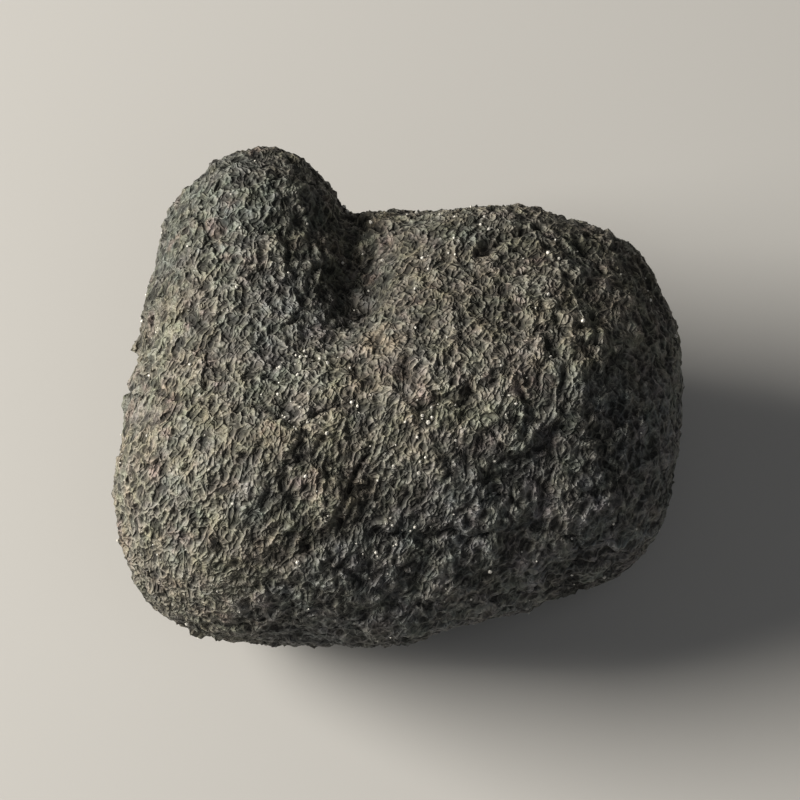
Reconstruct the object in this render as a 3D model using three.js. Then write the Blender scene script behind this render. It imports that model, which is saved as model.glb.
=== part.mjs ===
// A whole black truffle: one solid fruiting body, in millimetres, +Z up, resting on a small flat spot at z = 0.
// +X is its right side and +Y is the end that the thumb points to. The origin is under the middle of its outline.
//
// The body is a field of lobes melted together, scored by furrows and swollen by soft lumps. A net of points is
// cast onto that field, and each point becomes the peak of one low polygonal wart, with creases round it.
import * as THREE from "three";
import { ConvexHull } from "three/addons/math/ConvexHull.js";
import { ImprovedNoise } from "three/addons/math/ImprovedNoise.js";

// Driving sizes of the whole truffle.
const width = 50.4;
const depth = 45.6;
const height = 30;

// The warts: how many cover the skin, how far the lowest and the highest peak stand over it, how far a crease sinks
// under it, and how far a wart strays from an even spread.
const wartCount = 1800;
const lowestPeak = 0.18;
const highestPeak = 0.42;
const creaseDrop = 0.27;
const wartStray = 0.55;
const cleftWarts = 0.4; // the size of the warts deep in the cleft, as a share of the others'
const seed = 41;

// How softly lobes melt into each other, as a length: within a half of the body, between the halves where they
// have grown together, and between them in the cleft. Along +Y the cleft begins at cleftStart and is fully open
// at cleftOpen.
const softMelt = 5;
const grownMelt = 9;
const cleftMelt = 1.4;
const cleftStart = -2;
const cleftOpen = 3.5;

const at = (x, y, z) => new THREE.Vector3(x, y, z);

// The lobes, each a pair of balls and the tapered skin between them. The ridge is the left half, from the thumb
// to the ball of the hand, and the palm is the right half.
const ridgeLobes = {
  thumb: { from: at(-12.7, 15, 17), to: at(-12.3, 7.4, 16), fromRadius: 7.9, toRadius: 9.3 },
  wrist: { from: at(-12.3, 7.4, 16), to: at(-12.5, -7.6, 13.9), fromRadius: 9.3, toRadius: 11.9 },
  ball: { from: at(-12.5, -7.8, 13.9), to: at(-4, -10.4, 13.6), fromRadius: 11.9, toRadius: 10.6 },
};
const palmLobes = {
  corner: { from: at(-1, 13, 16.6), to: at(5, 9.2, 17), fromRadius: 4.9, toRadius: 7.6 },
  shoulder: { from: at(4.9, 8.2, 17.6), to: at(12, 6.4, 16.8), fromRadius: 7.7, toRadius: 9 },
  cheek: { from: at(12, 6.4, 16.8), to: at(15.4, 5.4, 15.8), fromRadius: 9.2, toRadius: 8.9 },
  heel: { from: at(5.2, -8.6, 14.6), to: at(14.4, -7.2, 14.4), fromRadius: 9.8, toRadius: 9.6 },
  palm: { from: at(4.6, -2.5, 17), to: at(12, -1.8, 16.4), fromRadius: 12, toRadius: 11.9 },
};
const footLobes = {
  web: { from: at(-6, -5, 13.8), to: at(0, -5, 13.8), fromRadius: 11.4, toRadius: 11.4 },
  gusset: { from: at(-8.6, 6.6, 11), to: at(4, 6.6, 11), fromRadius: 6.2, toRadius: 6.2 },
  foot: { from: at(-3.4, -3.6, 11.4), to: at(6.6, -2.4, 11.4), fromRadius: 12.2, toRadius: 12.2 },
};

// Furrows: a path over the skin, how wide the furrow is and how deep it cuts.
const furrows = {
  cleft: { path: [at(-3.8, 12.5, 18.5), at(-3, 7, 19.6), at(-4.6, 2, 21.6)], halfWidth: 2.8, cut: 1.75 },
  valley: { path: [at(-4.6, 1, 26.6), at(-3.4, -6, 27), at(-1.8, -13.5, 24.4)], halfWidth: 3, cut: 0.35 },
  pocket: { path: [at(-2.2, -13.5, 24.4), at(0.4, -18.5, 18.6)], halfWidth: 2.4, cut: 0.8 },
  fold: { path: [at(1, -15, 23), at(6, -16, 21.5)], halfWidth: 1.8, cut: 0.9 },
  chin: { path: [at(-19, -18, 13), at(-13, -22, 9), at(-8, -21, 7)], halfWidth: 1.6, cut: 0.9 },
  back: { path: [at(6, 17, 14), at(15, 15, 10), at(20, 8, 7)], halfWidth: 2, cut: 1 },
  side: { path: [at(23, 4, 9), at(24, -4, 14), at(20, -12, 12)], halfWidth: 1.6, cut: 0.7 },
};

// Lumps under the skin: how long a lump is, and how far it swells.
const lumps = [
  { size: 11, swell: 0.6 },
  { size: 5.2, swell: 0.4 },
];

const noise = new ImprovedNoise();

// Two distances melted together over a length.
function melt(a, b, length) {
  const share = Math.max(length - Math.abs(a - b), 0) / length;
  return Math.min(a, b) - (share * share * length) / 4;
}

function lobeDistance(point, lobe) {
  const axis = lobe.to.clone().sub(lobe.from);
  const offset = point.clone().sub(lobe.from);
  const along = THREE.MathUtils.clamp(offset.dot(axis) / axis.lengthSq(), 0, 1);
  const radius = THREE.MathUtils.lerp(lobe.fromRadius, lobe.toRadius, along);
  return offset.addScaledVector(axis, -along).length() - radius;
}

function meltedLobes(point, lobes) {
  return Object.values(lobes)
    .map((lobe) => lobeDistance(point, lobe))
    .reduce((a, b) => melt(a, b, softMelt));
}

const stretch = new THREE.Line3();
const nearest = new THREE.Vector3();
function pathDistance(point, path) {
  const reaches = path.slice(1).map((end, i) => {
    stretch.set(path[i], end).closestPointToPoint(point, true, nearest);
    return nearest.distanceTo(point);
  });
  return Math.min(...reaches);
}

// How far a point lies outside the skin; negative inside.
function skinField(point) {
  const open = THREE.MathUtils.smoothstep(point.y, cleftStart, cleftOpen);
  const seamMelt = THREE.MathUtils.lerp(grownMelt, cleftMelt, open);
  const halves = melt(meltedLobes(point, ridgeLobes), meltedLobes(point, palmLobes), seamMelt);
  const body = melt(halves, meltedLobes(point, footLobes), softMelt);
  const scored = Object.values(furrows).reduce((sum, furrow) => {
    const reach = pathDistance(point, furrow.path) / furrow.halfWidth;
    return sum + furrow.cut * Math.exp(-reach * reach);
  }, 0);
  const swollen = lumps.reduce(
    (sum, lump) => sum + lump.swell * noise.noise(point.x / lump.size, point.y / lump.size, point.z / lump.size),
    0,
  );
  return body + scored - swollen;
}

// The slope of the field, by central differences. It points out of the skin.
const halfStep = 0.25;
function skinSlope(point) {
  const slopes = ["x", "y", "z"].map((axis) => {
    const ahead = point.clone();
    const behind = point.clone();
    ahead[axis] += halfStep;
    behind[axis] -= halfStep;
    return (skinField(ahead) - skinField(behind)) / (2 * halfStep);
  });
  return at(...slopes);
}

// Moves a point along the slope to a level over the skin, by at most longestStep, and gives the way outwards.
const leastSlope = 0.4;
const longestStep = 1;
function moveToLevel(point, level) {
  const slope = skinSlope(point);
  const gap = (skinField(point) - level) / Math.max(slope.length(), leastSlope);
  const outwards = slope.normalize();
  point.addScaledVector(outwards, -THREE.MathUtils.clamp(gap, -longestStep, longestStep));
  return outwards;
}

// Directions spread evenly over a ball, in a spiral.
function spiralDirections(count) {
  const goldenAngle = Math.PI * (3 - Math.sqrt(5));
  return Array.from({ length: count }, (_, i) => {
    const z = 1 - (2 * i + 1) / count;
    const reach = Math.sqrt(1 - z * z);
    return at(reach * Math.cos(i * goldenAngle), reach * Math.sin(i * goldenAngle), z);
  });
}

// The net's triangles, as triples of point numbers: the convex hull of points on a ball joins each to its
// neighbours.
function netTriangles(directions) {
  const numberOf = new Map(directions.map((direction, i) => [direction, i]));
  return new ConvexHull().setFromPoints(directions).faces.map((face) => {
    const edges = [face.edge.prev, face.edge, face.edge.next];
    return edges.map((edge) => numberOf.get(edge.head().point));
  });
}

// Which triangle runs along each edge, in that edge's direction.
const edgeKey = (a, b) => a * wartCount + b;
function edgeOwners(triangles) {
  const owners = new Map();
  triangles.forEach((corners, n) => corners.forEach((a, i) => owners.set(edgeKey(a, corners[(i + 1) % 3]), n)));
  return owners;
}

// Swaps the shared edge of two triangles wherever the corners that face it are together too blunt.
const bluntest = Math.PI + 0.02;
function swapBluntEdges(points, triangles) {
  const owners = edgeOwners(triangles);
  const cornerAngle = (tip, a, b) =>
    points[a].clone().sub(points[tip]).angleTo(points[b].clone().sub(points[tip]));
  const changed = new Set();
  for (const [edge, n] of [...owners]) {
    const [a, b] = [Math.floor(edge / wartCount), edge % wartCount];
    const m = owners.get(edgeKey(b, a));
    if (a > b || changed.has(n) || changed.has(m)) continue;
    const c = triangles[n].find((i) => i !== a && i !== b);
    const d = triangles[m].find((i) => i !== a && i !== b);
    const joined = owners.has(edgeKey(c, d)) || owners.has(edgeKey(d, c));
    if (joined || cornerAngle(c, a, b) + cornerAngle(d, a, b) < bluntest) continue;
    triangles[n] = [c, a, d];
    triangles[m] = [d, b, c];
    changed.add(n).add(m);
  }
}

// How deep in the cleft a point is: 1 on its path, and 0 beyond about twice cleftReach from it.
const cleftReach = 3.5;
function cleftShare(point) {
  const reach = pathDistance(point, furrows.cleft.path) / cleftReach;
  return Math.exp(-reach * reach);
}

// Slides each point along the skin, towards the middle of the triangles round it, which evens their areas. In the
// cleft the net draws together, the more so the larger crowding is.
const slideShare = 0.6;
const crowding = 3;
function evenOut(points, triangles, outwards) {
  const sums = points.map(() => ({ middle: at(0, 0, 0), area: 0 }));
  const face = new THREE.Triangle();
  const middle = new THREE.Vector3();
  for (const corners of triangles) {
    face.setFromPointsAndIndices(points, ...corners).getMidpoint(middle);
    const area = face.getArea() * (1 + crowding * cleftShare(middle));
    for (const i of corners) {
      sums[i].middle.addScaledVector(middle, area);
      sums[i].area += area;
    }
  }
  points.forEach((point, i) => {
    const slide = sums[i].middle.divideScalar(sums[i].area).sub(point).projectOnPlane(outwards[i]);
    point.addScaledVector(slide, slideShare);
  });
}

// Where a ray from the heart of the body leaves the skin. The whole skin is in sight of the heart.
const heart = at(-3.5, 0, 14);
const rayShare = 0.7;
const closeEnough = 0.01;
function rayEnd(direction) {
  const point = heart.clone();
  for (let gap = -skinField(point); gap > closeEnough; gap = -skinField(point)) {
    point.addScaledVector(direction, gap * rayShare);
  }
  return point;
}

// How large the warts are round a point, as a share of their full size.
const wartSize = (point) => THREE.MathUtils.lerp(1, cleftWarts, cleftShare(point));

// Casts a net onto the skin along even rays, and slides it until it is even. Then lets each wart stray.
const settleRounds = 120;
const swapEvery = 2;
function netOnSkin(triangles) {
  const stretched = at(width, depth, height);
  const points = spiralDirections(wartCount).map((way) => rayEnd(way.multiply(stretched).normalize()));
  for (let round = 1; round <= settleRounds; round++) {
    const outwards = points.map((point) => moveToLevel(point, 0));
    evenOut(points, triangles, outwards);
    if (round % swapEvery === 0) swapBluntEdges(points, triangles);
  }
  THREE.MathUtils.seededRandom(seed);
  const stray = () => 2 * THREE.MathUtils.seededRandom() - 1;
  points.forEach((point) => point.addScaledVector(at(stray(), stray(), stray()), wartStray * wartSize(point)));
  points.forEach((point) => moveToLevel(point, 0));
  swapBluntEdges(points, triangles);
  swapBluntEdges(points, triangles);
  return points;
}

// Raises each point of the net to a peak and sinks a crease in the middle of each triangle, so that each wart is
// a low pyramid with a polygon of creases round its foot. What would pass below z = 0 is pressed flat there.
function wartedSkin(points, triangles) {
  const peaks = points.map((point) => point.clone());
  const rise = () => THREE.MathUtils.lerp(lowestPeak, highestPeak, THREE.MathUtils.seededRandom());
  peaks.forEach((peak) => moveToLevel(peak, rise() * wartSize(peak)));
  const creases = triangles.map(([a, b, c]) => points[a].clone().add(points[b]).add(points[c]).divideScalar(3));
  creases.forEach((crease) => moveToLevel(crease, -creaseDrop * wartSize(crease)));
  [...peaks, ...creases].forEach((point) => point.setZ(Math.max(point.z, 0)));
  const owners = edgeOwners(triangles);
  const corners = triangles.flatMap((triangle, n) =>
    triangle.flatMap((a, i) => {
      const beyond = owners.get(edgeKey(triangle[(i + 1) % 3], a));
      return [peaks[a], creases[beyond], creases[n]];
    }),
  );
  return new THREE.BufferGeometry().setFromPoints(corners);
}

// The finished skin is brought to its exact size, with the origin under the middle of its outline.
function makeTruffle() {
  const triangles = netTriangles(spiralDirections(wartCount));
  const geometry = wartedSkin(netOnSkin(triangles), triangles);
  geometry.computeBoundingBox();
  const middle = geometry.boundingBox.getCenter(at(0, 0, 0));
  const size = geometry.boundingBox.getSize(at(0, 0, 0));
  geometry.translate(-middle.x, -middle.y, 0);
  geometry.scale(width / size.x, depth / size.y, height / size.z);
  const skin = new THREE.MeshStandardMaterial({ color: 0x2b2825, roughness: 0.85, metalness: 0 });
  const truffle = new THREE.Mesh(geometry, skin);
  truffle.name = "truffle";
  return truffle;
}

const model = new THREE.Group();
model.add(makeTruffle());

export default model;
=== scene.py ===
# The looks of a black truffle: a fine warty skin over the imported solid, with grains of sand in it, on a plain
# pale floor in soft studio light. Sizes are in millimetres, and in metres once they are in a mesh or a node.
import math
import random

import bmesh
import bpy
from mathutils import Euler, Matrix, Vector, geometry, noise


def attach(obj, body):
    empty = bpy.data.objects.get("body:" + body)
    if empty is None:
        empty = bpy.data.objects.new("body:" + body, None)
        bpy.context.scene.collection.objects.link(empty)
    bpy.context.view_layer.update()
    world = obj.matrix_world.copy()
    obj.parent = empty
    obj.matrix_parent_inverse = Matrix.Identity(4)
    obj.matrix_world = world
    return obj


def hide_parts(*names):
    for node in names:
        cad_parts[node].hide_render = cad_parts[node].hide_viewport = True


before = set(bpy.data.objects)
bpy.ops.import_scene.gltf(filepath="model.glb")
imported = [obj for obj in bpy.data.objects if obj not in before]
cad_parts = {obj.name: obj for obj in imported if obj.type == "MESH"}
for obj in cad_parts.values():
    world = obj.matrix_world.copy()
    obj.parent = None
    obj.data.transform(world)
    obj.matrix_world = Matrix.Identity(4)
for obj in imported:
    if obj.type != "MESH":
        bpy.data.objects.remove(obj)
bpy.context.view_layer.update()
mm = 0.001


# Shader maths: a wire is one output of a material's nodes, and a sum or product of wires adds Math nodes.
class Wire:
    def __init__(self, finish, socket):
        self.finish = finish
        self.socket = socket

    def __add__(self, other):
        return self.finish.maths("ADD", self, other)

    def __radd__(self, other):
        return self.finish.maths("ADD", other, self)

    def __sub__(self, other):
        return self.finish.maths("SUBTRACT", self, other)

    def __rsub__(self, other):
        return self.finish.maths("SUBTRACT", other, self)

    def __mul__(self, other):
        return self.finish.maths("MULTIPLY", self, other)

    def __rmul__(self, other):
        return self.finish.maths("MULTIPLY", other, self)

    # 0 up to start, 1 past end, and smooth between them.
    def rise(self, start, end):
        settings = {"interpolation_type": "SMOOTHSTEP"}
        inputs = {"Value": self, "From Min": start, "From Max": end}
        return self.finish.node("ShaderNodeMapRange", settings, inputs)["Result"]


class Finish:
    def __init__(self, name):
        self.material = bpy.data.materials.new(name)
        self.material.use_nodes = True
        self.tree = self.material.node_tree
        self.shader = self.tree.nodes["Principled BSDF"]

    # Adds a node and gives its outputs by name. Where names repeat, the one in use counts.
    def node(self, kind, settings=None, inputs=None):
        node = self.tree.nodes.new(kind)
        for setting, value in (settings or {}).items():
            setattr(node, setting, value)
        for key, value in (inputs or {}).items():
            self.plug(self.pick(node.inputs, key), value)
        return {socket.name: Wire(self, socket) for socket in node.outputs if socket.enabled}

    def pick(self, sockets, key):
        if isinstance(key, int):
            return sockets[key]
        return next(socket for socket in sockets if socket.name == key and socket.enabled)

    def plug(self, socket, value):
        if isinstance(value, Wire):
            self.tree.links.new(value.socket, socket)
        else:
            socket.default_value = value

    def maths(self, operation, first, second):
        return self.node("ShaderNodeMath", {"operation": operation}, {0: first, 1: second})["Value"]

    def blend(self, share, first, second):
        settings = {"data_type": "RGBA"}
        return self.node("ShaderNodeMix", settings, {"Factor": share, "A": first, "B": second})["Result"]

    def place(self):
        return self.node("ShaderNodeTexCoord")["Object"]

    # A noise whose blobs are about size millimetres long.
    def cloud(self, size, detail=2.0, roughness=0.5):
        inputs = {"Vector": self.place(), "Scale": 1 / (size * mm), "Detail": detail, "Roughness": roughness}
        return self.node("ShaderNodeTexNoise", {}, inputs)["Fac"]

    # The place in a stroke's cells, which have three sides and are turned about x and then z.
    def cells(self, place, stroke):
        tilt, turn = stroke["turn"]
        angles = (math.radians(tilt), 0, math.radians(turn))
        inputs = {"Vector": place, "Rotation": angles, "Scale": tuple(side * mm for side in stroke["sides"])}
        return self.node("ShaderNodeMapping", {"vector_type": "TEXTURE"}, inputs)["Vector"]

    # Winding lines, 1 along their middle and 0 from their width on, where a noise crosses its middle value.
    def threads(self, place, stroke):
        inputs = {"Vector": self.cells(place, stroke), "Scale": 1.0, "Detail": 0.0}
        fac = self.node("ShaderNodeTexNoise", {}, inputs)["Fac"]
        return 1 - self.maths("ABSOLUTE", fac - 0.5, 0).rise(0, stroke["width"])

    def vectors(self, operation, first, second):
        return self.node("ShaderNodeVectorMath", {"operation": operation}, {0: first, 1: second})["Vector"]

    # A place, pushed about by up to push millimetres in swirls that are size millimetres long.
    def swirled(self, place, swirl):
        inputs = {"Vector": place, "Scale": 1 / (swirl["size"] * mm), "Detail": 1.0}
        colour = self.node("ShaderNodeTexNoise", {}, inputs)["Color"]
        offset = self.vectors("SUBTRACT", colour, (0.5, 0.5, 0.5))
        reach = 2 * swirl["push"] * mm
        return self.vectors("ADD", place, self.vectors("MULTIPLY", offset, (reach, reach, reach)))

    # A net of ridges round polygons, 1 along a ridge and 0 from its width on. A width of 0.4 reaches to about
    # a polygon's middle.
    def net(self, place, stroke):
        inputs = {"Vector": self.cells(place, stroke), "Scale": 1.0}
        away = self.node("ShaderNodeTexVoronoi", {"feature": "DISTANCE_TO_EDGE"}, inputs)["Distance"]
        return 1 - away.rise(0, stroke["width"])

    # 1 within start millimetres of a spot, 0 past end, and smooth between them.
    def near(self, spot, start, end):
        inputs = {0: self.place(), 1: tuple(side * mm for side in spot)}
        away = self.node("ShaderNodeVectorMath", {"operation": "DISTANCE"}, inputs)["Value"]
        return 1 - away.rise(start * mm, end * mm)

    def scaled(self, vector, scale):
        inputs = {0: vector, "Scale": scale}
        return self.node("ShaderNodeVectorMath", {"operation": "SCALE"}, inputs)["Vector"]

    # How far along a direction a place is, in millimetres.
    def along(self, direction):
        inputs = {0: self.place(), 1: direction}
        return self.node("ShaderNodeVectorMath", {"operation": "DOT_PRODUCT"}, inputs)["Value"] * (1 / mm)

    # A colour that wavers round white in patches of size millimetres.
    def stain(self, size, strength):
        inputs = {"Vector": self.place(), "Scale": 1 / (size * mm), "Detail": 2.0}
        colour = self.node("ShaderNodeTexNoise", {}, inputs)["Color"]
        white = tuple(1 - 0.5 * share for share in strength)
        return self.vectors("ADD", self.vectors("MULTIPLY", colour, strength), white)

    def attribute(self, name):
        return self.node("ShaderNodeAttribute", {"attribute_name": name})["Fac"]

    def set(self, **inputs):
        for key, value in inputs.items():
            self.plug(self.shader.inputs[key.replace("_", " ")], value)
        return self.material


# 0 up to start, 1 past end, and smooth between them, for plain numbers.
def smooth(value, start, end):
    share = min(max((value - start) / (end - start), 0), 1)
    return share * share * (3 - 2 * share)


def addPiece(name, mesh, materials):
    data = bpy.data.meshes.new(name)
    mesh.to_mesh(data)
    mesh.free()
    piece = bpy.data.objects.new(name, data)
    bpy.context.scene.collection.objects.link(piece)
    for material in materials:
        data.materials.append(material)
    return piece


view = {
    "target": Vector((0.1, -0.4, 16)),
    "elevation": 65,  # degrees above the horizon
    "distance": 400,
    "fieldWidth": 70,  # across the picture, at the target
    "sensor": 36,
    "nearest": 10,  # what is nearer to the camera isn't drawn
}


def setCamera():
    data = bpy.data.cameras.new("camera")
    data.sensor_width = view["sensor"]
    data.lens = view["sensor"] * view["distance"] / view["fieldWidth"]
    data.clip_start = view["nearest"] * mm
    camera = bpy.data.objects.new("camera", data)
    tilt = math.radians(view["elevation"])
    back = Vector((0, -math.cos(tilt), math.sin(tilt)))
    camera.location = (view["target"] + back * view["distance"]) * mm
    camera.rotation_euler = (-back).to_track_quat("-Z", "Y").to_euler()
    bpy.context.scene.collection.objects.link(camera)
    bpy.context.scene.camera = camera


light = {
    "key": {"place": (-550, 60, 300), "size": 340, "power": 9.0, "colour": (1.0, 0.96, 0.88)},
    "fill": {"place": (200, -350, 600), "size": 600, "power": 0.55, "colour": (0.94, 0.97, 1.0)},
    "sky": {"strength": 0.07, "colour": (1, 1, 1, 1)},
    "floor": {"side": 3000, "colour": (0.5, 0.49, 0.475, 1), "roughness": 0.8},
}


def setLights():
    for name in ("key", "fill"):
        lamp = light[name]
        data = bpy.data.lights.new(name, "AREA")
        data.size = lamp["size"] * mm
        data.energy = lamp["power"]
        data.color = lamp["colour"]
        place = Vector(lamp["place"])
        holder = bpy.data.objects.new(name, data)
        holder.location = place * mm
        holder.rotation_euler = (view["target"] - place).to_track_quat("-Z", "Y").to_euler()
        bpy.context.scene.collection.objects.link(holder)
    world = bpy.data.worlds.new("sky")
    world.use_nodes = True
    background = world.node_tree.nodes["Background"]
    background.inputs["Color"].default_value = light["sky"]["colour"]
    background.inputs["Strength"].default_value = light["sky"]["strength"]
    bpy.context.scene.world = world
    bpy.context.scene.view_settings.view_transform = "Standard"


def makeFloor():
    ground = light["floor"]
    mesh = bmesh.new()
    bmesh.ops.create_grid(mesh, x_segments=1, y_segments=1, size=ground["side"] * mm / 2)
    material = Finish("floor").set(Base_Color=ground["colour"], Roughness=ground["roughness"])
    addPiece("floor", mesh, [material])


setCamera()
setLights()
makeFloor()
print("camera, lights and floor are in place")

# Lengths are in millimetres and turns in degrees.
truffleSkin = {
    "form": {
        "flatten": 6,  # rounds of smoothing that take the solid's large warts down to the body's own form
        "subdivisions": 2,
        "soften": 2,  # rounds of smoothing after each subdivision
        "swell": 0.12,  # how far the skin is let out, for what the smoothing drew in
        # Where it swells a little more or less: the middle, how far it reaches, and how much.
        "swellings": (
            (Vector((-11, 21, 20)), 8, 0.5),
            (Vector((-20.3, 15.5, 18.5)), 6, 0.5),
            (Vector((-23.4, 1, 17)), 6, 0.4),
            (Vector((19.8, 12.4, 19.5)), 7, 0.8),
            (Vector((24.2, 3, 19)), 6, 0.5),
            (Vector((24.2, -9.3, 14)), 5, -0.5),
            (Vector((-14.5, 20.5, 21.5)), 5, 0.3),
            (Vector((-22.3, 7, 18)), 6, 0.35),
            (Vector((4.3, 14.5, 23.5)), 6, -0.35),
            (Vector((5, -20, 9)), 7, -1.2),
            (Vector((-9, -20, 8)), 5, 0.3),
            (Vector((-4.6, 7.2, 23.8)), 3, -0.5),
            (Vector((-3.1, 4.4, 25.1)), 3.2, -1.0),
            (Vector((-2.6, 12.5, 21)), 4, 0.8),
        ),
        "backWay": Vector((-0.3, 0.75, -0.6)).normalized(),  # the way that its back faces
    },
    "relief": {
        "lumps": ((9.0, 0.35), (4.2, 0.25)),  # how long a lump is, and how far it swells
        # Polygons: how wide one is, how far it rises, how wide the crease round it is, how much they differ
        # in height and lean, and how much they count in how light the skin is.
        "plates": {"size": 4.5, "rise": 0.24, "crease": 0.4, "own": 0.2, "lean": 0.4, "crest": 0.15},
        "warts": {"size": 1.6, "rise": 0.2, "crease": 0.35, "own": 0.2, "lean": 0.9, "crest": 0.35},
        "bends": {"wide": 0.45, "small": 0.15},  # how far a polygon's borders stray, as shares of its size
        "dish": 0.35,  # how far a wart's middle sinks, as a share of its rise
        # Winding ridges: how far apart they are, how much they are drawn out along Y, and the same as above.
        "wrinkles": {"size": 1.4, "stretch": 1.4, "width": 0.4, "rise": 0.28, "crest": 0.5},
        "wrinkleBend": {"size": 7, "push": 1.5},
        # Cracks show in patches. The fade is how gently a patch ends.
        "cracks": {"size": 8, "width": 0.04, "depth": 0.3, "patch": 6, "fade": 0.25},
        "crackBend": {"size": 1.5, "push": 0.07},
        "folds": {"width": 0.55, "depth": 0.45, "above": 12},  # only above this height
        "foldBend": {"size": 1.5, "push": 0.7},
        # The deepest folds of the upper side, each as the places that it runs through, seen from above.
        "foldPaths": (
            ((6.8, 8.6), (9.6, 10.1), (12.2, 11.7)),
            ((15.5, 10.0), (17.5, 7.2)),
            ((5.0, -7.1), (6.4, -5.7)),
            ((10.2, -5.3), (11.3, -6.7), (10.7, -8.8)),
            ((11.9, -9.6), (14.5, -8.4), (17.2, -8.8), (17.9, -11.0)),
            ((-2.2, -16.7), (0.7, -16.9), (3.9, -16.7), (6.0, -17.2), (7.3, -16.0)),
            ((-3.3, -12.1), (-4.3, -14.1)),
            ((-9.2, -18.5), (-6.2, -17.6)),
            ((12.9, -17.6), (16.1, -16.8), (19.4, -15.6)),
        ),
        # The crest value carries painted shade down in cracks and folds.
        "shade": 0.8,  # how much lightness the skin loses down in a crack or a fold
        "shift": Vector((3.1, 7.7, 1.9)),  # which part of the noise the truffle lies in
        "seed": 4,
    },
    # The fine strokes of the finish. Nets and threads have cells, whose three sides are turned about x and z.
    "strokes": {
        "wideSwirl": {"size": 2.2, "push": 0.45},
        "fineSwirl": {"size": 0.9, "push": 0.1},
        "pitted": {"sides": (0.77, 1.65, 0.77), "turn": (30, -28), "width": 0.36},
        "drawn": {"sides": (0.72, 1.9, 0.72), "turn": (30, -28), "width": 0.34},
        "nets": {"strength": 0.55, "onFlank": 0.2},  # how high they stand, and how much higher on the flank
        "winding": {"sides": (1.2, 2.2, 1.2), "turn": (30, -30), "width": 0.1, "strength": 0.45},
        "tiny": {"sides": (0.5, 0.5, 0.5), "turn": (0, 0), "width": 0.18, "strength": 0.25},
        "level": {"sides": (5, 5, 1.1), "turn": (0, 0), "width": 0.1, "strength": 0.25},
        "steepness": (0.25, 0.65),  # where the level threads begin, and where they are at their strongest
        "fade": {"patch": 1.3, "edge": (0.4, 0.6), "share": 0.5},  # the nets fade in patches
        "flank": {"edge": (-17, -12), "patch": 6, "stray": 8},  # where its -X side begins, and how raggedly
    },
    # Colours, as shares of how light the skin is. A patch has a size, a detail, an edge in the noise that
    # makes it and a strength. A spot has its middle, how far it is whole, where it ends and a strength.
    "tints": {
        "olive": (0.95, 0.885, 0.7, 1),
        "green": {
            "colour": (0.84, 0.87, 0.74, 1),
            "patch": (7, 2, (0.5, 0.7), 0.6),
            "spot": ((-14, 13, 20), 4, 12, 1),
        },
        "rust": {
            "colour": (1.0, 0.83, 0.71, 1),
            "patch": (3.6, 3, (0.54, 0.72), 0.8),
            "spot": ((0.5, -4.5, 28.5), 1.5, 5, 0.5),
        },
        "slate": {
            "colour": (0.885, 0.885, 0.82, 1),
            # Painted shade colour: the front-right side, which lies in shade, is greyer; the spot on top is the
            # skin's own grey.
            "side": ((0.6, -1, 0), (9, 19)),  # a way across the truffle, and the edge of the slate that way
            "spot": ((-9.5, 3, 27), 3, 9, 0.7),
        },
        "scuff": {
            "colour": (1.12, 0.92, 0.67, 1),
            "patch": (1.5, 2, (0.3, 0.5), 1),
            "spot": ((-1.4, -0.3, 27.8), 0.8, 2.6, 1),
        },
        # How long a stain is, and how far its red, green and blue stray.
        "stains": ((0.9, (0.22, 0.08, 0.3)), (2.8, (0.35, 0.1, 0.4))),
    },
    # How light the skin is. A zone has its middle, how far it is whole, where it ends, and how much lighter
    # it makes the skin. Some zones are painted shade or painted light, as marked.
    "tones": {
        "darkest": 0.028,
        "lightest": 0.255,
        "zones": (
            # Partly painted light on the left flank, which faces the key, and partly pale dust.
            ((-22, -7, 20), 6, 13, 0.1),
            ((5, -6, 29), 3, 8, 0.25),
            ((-12, 19, 22), 4, 9, -0.2),
            ((-20, 9, 20), 3, 9, -0.25),
            ((-13.5, 8, 27), 2, 5, 0.15),
            ((-7, -6, 28), 2, 6, 0.2),
            # Painted shade on the thumb's right side, turned from the key.
            ((-6.5, 9, 22), 3, 6, -0.15),
            # Painted shade in the crease beside the thumb.
            ((-4.2, 4.8, 24.8), 2, 5, -0.5),
            ((-1.4, -0.3, 27.8), 0.8, 2.5, 0.3),
            ((5, 8, 28), 3, 9, -0.12),
            ((22, -1, 15), 4, 9, 0.2),
            ((-17.5, -16, 14), 3, 8, -0.15),
            # Painted shade on the right side, turned from the key.
            ((16, -9.5, 26), 3, 8, -0.15),
            # Painted shade in the pocket under the front.
            ((-6, -20, 15), 5, 11, -0.35),
            # Painted shade low in the valley.
            ((-1, -17, 24), 3, 7, -0.25),
        ),
        # Painted shade: the skin is darker towards the bottom.
        "paintedShadeBelow": {"share": 0.5, "heights": (3, 17)},  # how much lightness it keeps, and where it darkens
        "back": {"share": 0.5, "turn": (0.1, 0.7)},  # the same, by how far the skin is turned the back's way
        # Painted shade in the seams: the tone that a seam goes down to, how much of the way it goes, and how
        # far from a seam it reaches.
        "seam": {"tone": 0.008, "strength": 0.75, "width": 0.25},
        "seamPatch": {"size": 3.5, "edge": (0.45, 0.55)},  # seams are dark in patches
        # The mesh's crests carry painted shade down in its folds and cracks.
        "crests": 0.6,  # how much the mesh's own crests count beside the strokes
        "grain": {"size": 0.25, "detail": 3, "roughness": 0.65, "strength": 0.25},
        "mottle": {"size": 2.4, "strength": 0.3},
        "edge": (-0.05, 1.0),  # the heights at which a pit is darkest and a crest lightest
    },
    "bump": {"depth": 0.6, "grain": 0.1, "seam": 0.4},
    "roughness": {"pit": 0.88, "crest": 0.44},
    "specular": 0.4,
}
form, relief = truffleSkin["form"], truffleSkin["relief"]
strokes, tints, tones = truffleSkin["strokes"], truffleSkin["tints"], truffleSkin["tones"]
noise.seed_set(relief["seed"])  # without it, noise_vector differs from run to run


# How far a spot is pushed about by a noise.
def pushAt(spot, bend):
    return bend["push"] * noise.noise_vector(spot / bend["size"])


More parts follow.
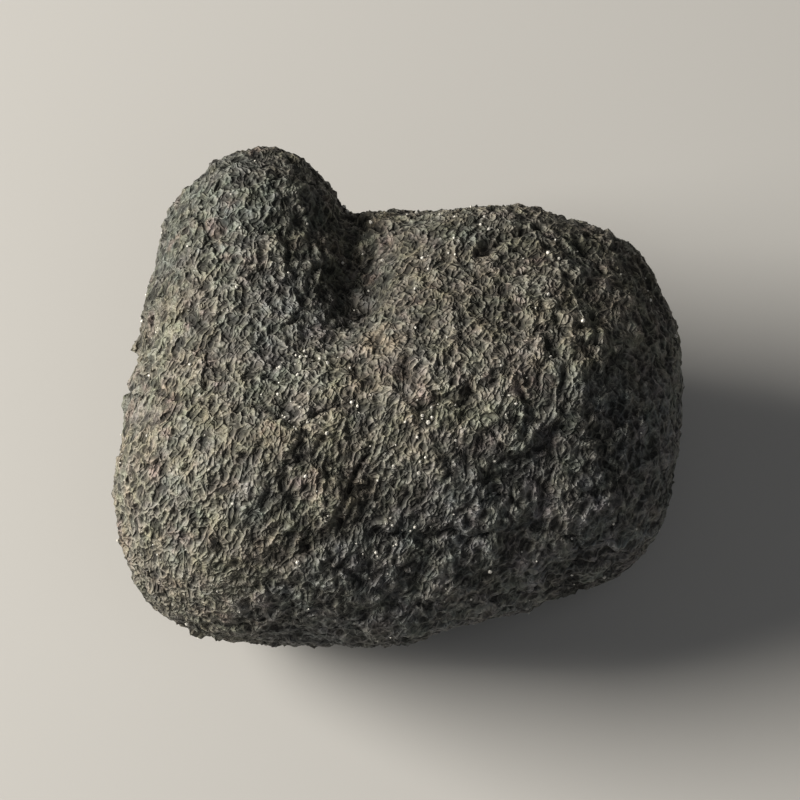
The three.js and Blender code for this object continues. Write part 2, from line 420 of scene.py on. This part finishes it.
# How far a spot lies from the nearest fold.
def foldAt(spot):
    push = pushAt(spot, relief["foldBend"])
    flat = Vector((spot.x + push.x, spot.y + push.y)) - relief["shift"].xy
    away = 10.0  # farther than any fold reaches
    for points in relief["foldPaths"]:
        for start, end in zip(points, points[1:]):
            start, end = Vector(start), Vector(end)
            if (flat - start).length > away + (end - start).length:
                continue
            _, share = geometry.intersect_point_line(flat, start, end)
            nearest = start.lerp(end, min(max(share, 0), 1))
            away = min(away, (flat - nearest).length)
    return away


# One layer of polygons: how far a spot lies from the nearest border, and how far its polygon stands up or
# leans there, from about -1 to 1.
def polygonAt(spot, layer):
    size = layer["size"]
    finer = 3
    wide = relief["bends"]["wide"] * noise.noise_vector(spot / size)
    small = relief["bends"]["small"] * noise.noise_vector(spot / size * finer)
    bent = spot / size + wide + small
    _, hearts = noise.voronoi(bent)
    across = hearts[1] - hearts[0]
    border = (hearts[0] + hearts[1]) / 2 - bent
    heightDraw, leanDraw = 13.7, 5.3  # large enough that each polygon draws its own
    own = 2 * noise.cell(hearts[0] * heightDraw) - 1
    lean = 2 * noise.noise_vector(hearts[0] * leanDraw).dot(bent - hearts[0])
    return border.dot(across.normalized()) * size, layer["own"] * own + layer["lean"] * lean * size


# Two sets of winding ridges that cross, the second one finer and lower: 1 on top of a ridge, 0 between them.
def wrinkleAt(spot):
    wrinkles = relief["wrinkles"]
    stretched = Vector((spot.x, spot.y / wrinkles["stretch"], spot.z))
    place = (stretched + pushAt(spot, relief["wrinkleBend"])) / wrinkles["size"]
    finer, aside, lower = 1.3, Vector((5, 5, 5)), 0.8
    first = max(1 - abs(noise.noise(place)) / wrinkles["width"], 0)
    second = max(1 - abs(noise.noise(place * finer + aside)) / wrinkles["width"], 0)
    return max(first * first, lower * second * second)


# Thin cracks in patches: 1 in the middle of a crack, 0 outside it.
def crackAt(spot):
    cracks, bend = relief["cracks"], relief["crackBend"]
    path = abs(noise.noise(spot / cracks["size"]) + bend["push"] * noise.noise(spot / bend["size"]))
    aside = Vector((9, 2, 5))
    patch = smooth(noise.noise(spot / cracks["patch"] + aside), 0, cracks["fade"])
    return (1 - smooth(path, 0, cracks["width"])) * patch


# What the relief is at a spot: how far it rises, how much of a crest it is, with painted shade down in folds
# and cracks, and how far the nearest seam is.
def reliefAt(spot):
    lumps = sum(swell * noise.noise(spot / size) for size, swell in relief["lumps"])
    plates, warts, wrinkles = relief["plates"], relief["warts"], relief["wrinkles"]
    top = 0.8  # how high a flat polygon stands
    middle, half = 0.6, 0.5  # what counts as level among polygons, and among wrinkles
    seam, tilt = polygonAt(spot, plates)
    plate = smooth(seam, 0, plates["crease"]) * (top + tilt)
    border, tilt = polygonAt(spot, warts)
    dish = smooth(border, warts["crease"], 3 * warts["crease"]) * relief["dish"]
    wart = smooth(border, 0, warts["crease"]) * (top + tilt - dish)
    wrinkle = wrinkleAt(spot)
    crack = crackAt(spot)
    rise = plates["rise"] * (plate - middle) + warts["rise"] * (wart - middle)
    rise += wrinkles["rise"] * (wrinkle - half) - relief["cracks"]["depth"] * crack
    crest = plates["crest"] * plate + warts["crest"] * wart + wrinkles["crest"] * wrinkle
    folds = relief["folds"]
    if spot.z - relief["shift"].z > folds["above"]:
        away = foldAt(spot)
        fold = 1 - smooth(away, 0, folds["width"])
        rise -= folds["depth"] * fold
        # Painted shade down in the fold.
        crest *= 1 - relief["shade"] * fold
        seam = min(seam, away)
    # Painted shade down in a crack.
    return lumps + rise, crest * (1 - relief["shade"] * crack), seam


def soften(mesh, rounds):
    axes = {"use_axis_x": True, "use_axis_y": True, "use_axis_z": True}
    for _ in range(rounds):
        bmesh.ops.smooth_vert(mesh, verts=mesh.verts, factor=0.5, **axes)


# The solid's own form, made finer and raised by the relief. Its attributes tell the finish how the skin lies.
def makeSkin(material):
    mesh = bmesh.new()
    mesh.from_mesh(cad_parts["truffle"].data)
    bmesh.ops.remove_doubles(mesh, verts=mesh.verts, dist=0.001 * mm)
    soften(mesh, form["flatten"])
    for _ in range(form["subdivisions"]):
        bmesh.ops.subdivide_edges(mesh, edges=mesh.edges, cuts=1, use_grid_fill=True)
        soften(mesh, form["soften"])
    mesh.normal_update()
    crest = mesh.verts.layers.float.new("crest")
    seam = mesh.verts.layers.float.new("seam")
    steep = mesh.verts.layers.float.new("steep")
    back = mesh.verts.layers.float.new("back")
    ways = [vert.normal.copy() for vert in mesh.verts]
    for vert, way in zip(mesh.verts, ways):
        rise, vert[crest], vert[seam] = reliefAt(vert.co / mm + relief["shift"])
        vert[steep] = 1 - abs(way.z)
        vert[back] = way.dot(form["backWay"])
        rise += form["swell"]
        for middle, reach, amount in form["swellings"]:
            rise += amount * smooth(reach - (vert.co / mm - middle).length, 0, reach)
        vert.co += way * rise * mm
        vert.co.z = max(vert.co.z, 0)
    for face in mesh.faces:
        face.smooth = True
    print("the skin has", len(mesh.faces), "faces")
    return addPiece("truffleSkin", mesh, [material])


# How high the strokes stand: a pitted net, longer on the flank, with winding, tiny and level threads on it.
def skinThreads(finish):
    bent = finish.swirled(finish.place(), strokes["wideSwirl"])
    crumpled = finish.swirled(bent, strokes["fineSwirl"])
    flank = strokes["flank"]
    ragged = finish.along((1, 0, 0)) + flank["stray"] * (finish.cloud(flank["patch"]) - 0.5)
    onFlank = 1 - ragged.rise(*flank["edge"])
    pitted = finish.net(crumpled, strokes["pitted"])
    drawn = finish.net(crumpled, strokes["drawn"])
    height = strokes["nets"]["strength"] + strokes["nets"]["onFlank"] * onFlank
    nets = height * (pitted + onFlank * (drawn - pitted))
    winding = strokes["winding"]["strength"] * finish.threads(bent, strokes["winding"])
    fade = strokes["fade"]
    share = fade["share"] * finish.cloud(fade["patch"]).rise(*fade["edge"])
    tiny = strokes["tiny"]["strength"] * finish.threads(crumpled, strokes["tiny"])
    steep = finish.attribute("steep").rise(*strokes["steepness"])
    level = strokes["level"]["strength"] * steep * finish.threads(bent, strokes["level"])
    return winding * (1 - share) + nets * (1 - fade["share"] + share) + tiny + level


def patchAt(finish, tint):
    size, detail, edge, strength = tint["patch"]
    return strength * finish.cloud(size, detail).rise(*edge)


def spotAt(finish, tint):
    middle, start, end, strength = tint["spot"]
    return strength * finish.near(middle, start, end)


def skinTint(finish):
    tint = tints["olive"]
    for name in ("green", "rust"):
        share = patchAt(finish, tints[name]) + spotAt(finish, tints[name])
        tint = finish.blend(share.rise(0, 1), tint, tints[name]["colour"])
    # The greyer front-right side is painted shade colour.
    way, edge = tints["slate"]["side"]
    share = finish.along(way).rise(*edge) + spotAt(finish, tints["slate"])
    tint = finish.blend(share.rise(0, 1), tint, tints["slate"]["colour"])
    for size, strength in tints["stains"]:
        tint = finish.vectors("MULTIPLY", tint, finish.stain(size, strength))
    share = patchAt(finish, tints["scuff"]) * spotAt(finish, tints["scuff"])
    return finish.blend(share, tint, tints["scuff"]["colour"])


def skinTone(finish, onCrest, shadedSeams):
    tone = tones["darkest"] + (tones["lightest"] - tones["darkest"]) * onCrest
    # The zones include painted shade in the crease, the valley, under the front and on the right side, and
    # painted light on the left flank.
    for middle, start, end, gain in tones["zones"]:
        tone = tone * (1 + gain * finish.near(middle, start, end))
    paintedShadeBelow, back, seam = tones["paintedShadeBelow"], tones["back"], tones["seam"]
    # Painted shade, darker towards the bottom.
    upper = finish.along((0, 0, 1)).rise(*paintedShadeBelow["heights"])
    tone = tone * (paintedShadeBelow["share"] + (1 - paintedShadeBelow["share"]) * upper)
    turned = finish.attribute("back").rise(*back["turn"])
    tone = tone * (1 - (1 - back["share"]) * turned)
    # Painted shade darkens the seams.
    return tone + shadedSeams * seam["strength"] * (seam["tone"] - tone)


def makeSkinFinish():
    finish = Finish("truffleSkin")
    threads = skinThreads(finish)
    grain = finish.cloud(tones["grain"]["size"], tones["grain"]["detail"], tones["grain"]["roughness"])
    mottle = finish.cloud(tones["mottle"]["size"])
    raised = threads + tones["crests"] * (finish.attribute("crest") - 0.5)
    raised = raised + tones["grain"]["strength"] * (grain - 0.5)
    raised = raised + tones["mottle"]["strength"] * (mottle - 0.5)
    onCrest = raised.rise(*tones["edge"])
    # Where painted shade darkens the seams, in patches; the bump dips there as well.
    patches = finish.cloud(tones["seamPatch"]["size"]).rise(*tones["seamPatch"]["edge"])
    shadedSeams = (1 - finish.attribute("seam").rise(0, tones["seam"]["width"])) * patches
    bump, roughness = truffleSkin["bump"], truffleSkin["roughness"]
    height = threads + bump["grain"] * grain - bump["seam"] * shadedSeams
    inputs = {"Strength": 1.0, "Distance": bump["depth"] * mm, "Height": height}
    return finish.set(
        Base_Color=finish.scaled(skinTint(finish), skinTone(finish, onCrest, shadedSeams)),
        Roughness=roughness["pit"] + (roughness["crest"] - roughness["pit"]) * onCrest,
        Normal=finish.node("ShaderNodeBump", {}, inputs)["Normal"],
        Specular_IOR_Level=truffleSkin["specular"],
    )


skin = makeSkin(makeSkinFinish())
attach(skin, "root")
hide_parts("truffle")
print("the skin is on")

sandGrains = {
    "count": 260,
    "size": (0.09, 0.26),  # from a grain's middle to its side
    "flattest": 0.6,  # a grain's shortest side, as a share of its longest
    "proud": 0.2,  # how far a grain's middle stands over the skin, as a share of its size
    # Where more grains lie: the middle, how far it reaches, and how many there are.
    "spots": (
        ((-6.5, -5, 28), 4.5, 30),
        ((2, -9, 28), 4, 18),
        ((-1, -17, 23.5), 3, 10),
        ((3.3, 7, 27.3), 2, 4),
    ),
    "colour": (0.78, 0.75, 0.68),
    "patch": {"size": 0.6, "edge": (0.35, 0.65), "darkest": 0.55},
    "roughness": {"dark": 0.45, "light": 0.3},
    "seed": 12,
}


def makeSandFinish():
    finish = Finish("sandGrains")
    patch = sandGrains["patch"]
    light = finish.cloud(patch["size"], detail=1).rise(*patch["edge"])
    colour = finish.scaled(sandGrains["colour"], patch["darkest"] + (1 - patch["darkest"]) * light)
    roughness = sandGrains["roughness"]
    rough = roughness["dark"] + (roughness["light"] - roughness["dark"]) * light
    return finish.set(Base_Color=colour, Roughness=rough)


# Crystals that sit in the skin: spread evenly all over it, and more closely round a few spots.
def addSandGrains(skin, material):
    chance = random.Random(sandGrains["seed"])
    places = [(vert.co.copy(), vert.normal.copy()) for vert in skin.data.vertices]
    chosen = chance.sample(places, sandGrains["count"])
    for centre, reach, count in sandGrains["spots"]:
        close = [place for place in places if (place[0] / mm - Vector(centre)).length < reach]
        chosen += chance.sample(close, count)
    mesh = bmesh.new()
    smallest, largest = sandGrains["size"]
    flattest = sandGrains["flattest"]
    for place, way in chosen:
        size = (smallest + (largest - smallest) * chance.random() ** 2) * mm
        squash = Vector([chance.uniform(flattest, 1) for _ in range(3)]) * size
        turn = Euler([chance.uniform(0, math.tau) for _ in range(3)]).to_matrix().to_4x4()
        middle = place + way * sandGrains["proud"] * size
        middle.z = max(middle.z, size)
        lie = Matrix.Translation(middle) @ turn @ Matrix.Diagonal((*squash, 1))
        bmesh.ops.create_icosphere(mesh, subdivisions=1, radius=1, matrix=lie)
    return addPiece("sandGrains", mesh, [material])


grains = addSandGrains(skin, makeSandFinish())
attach(grains, "root")
print("the sand grains are in")
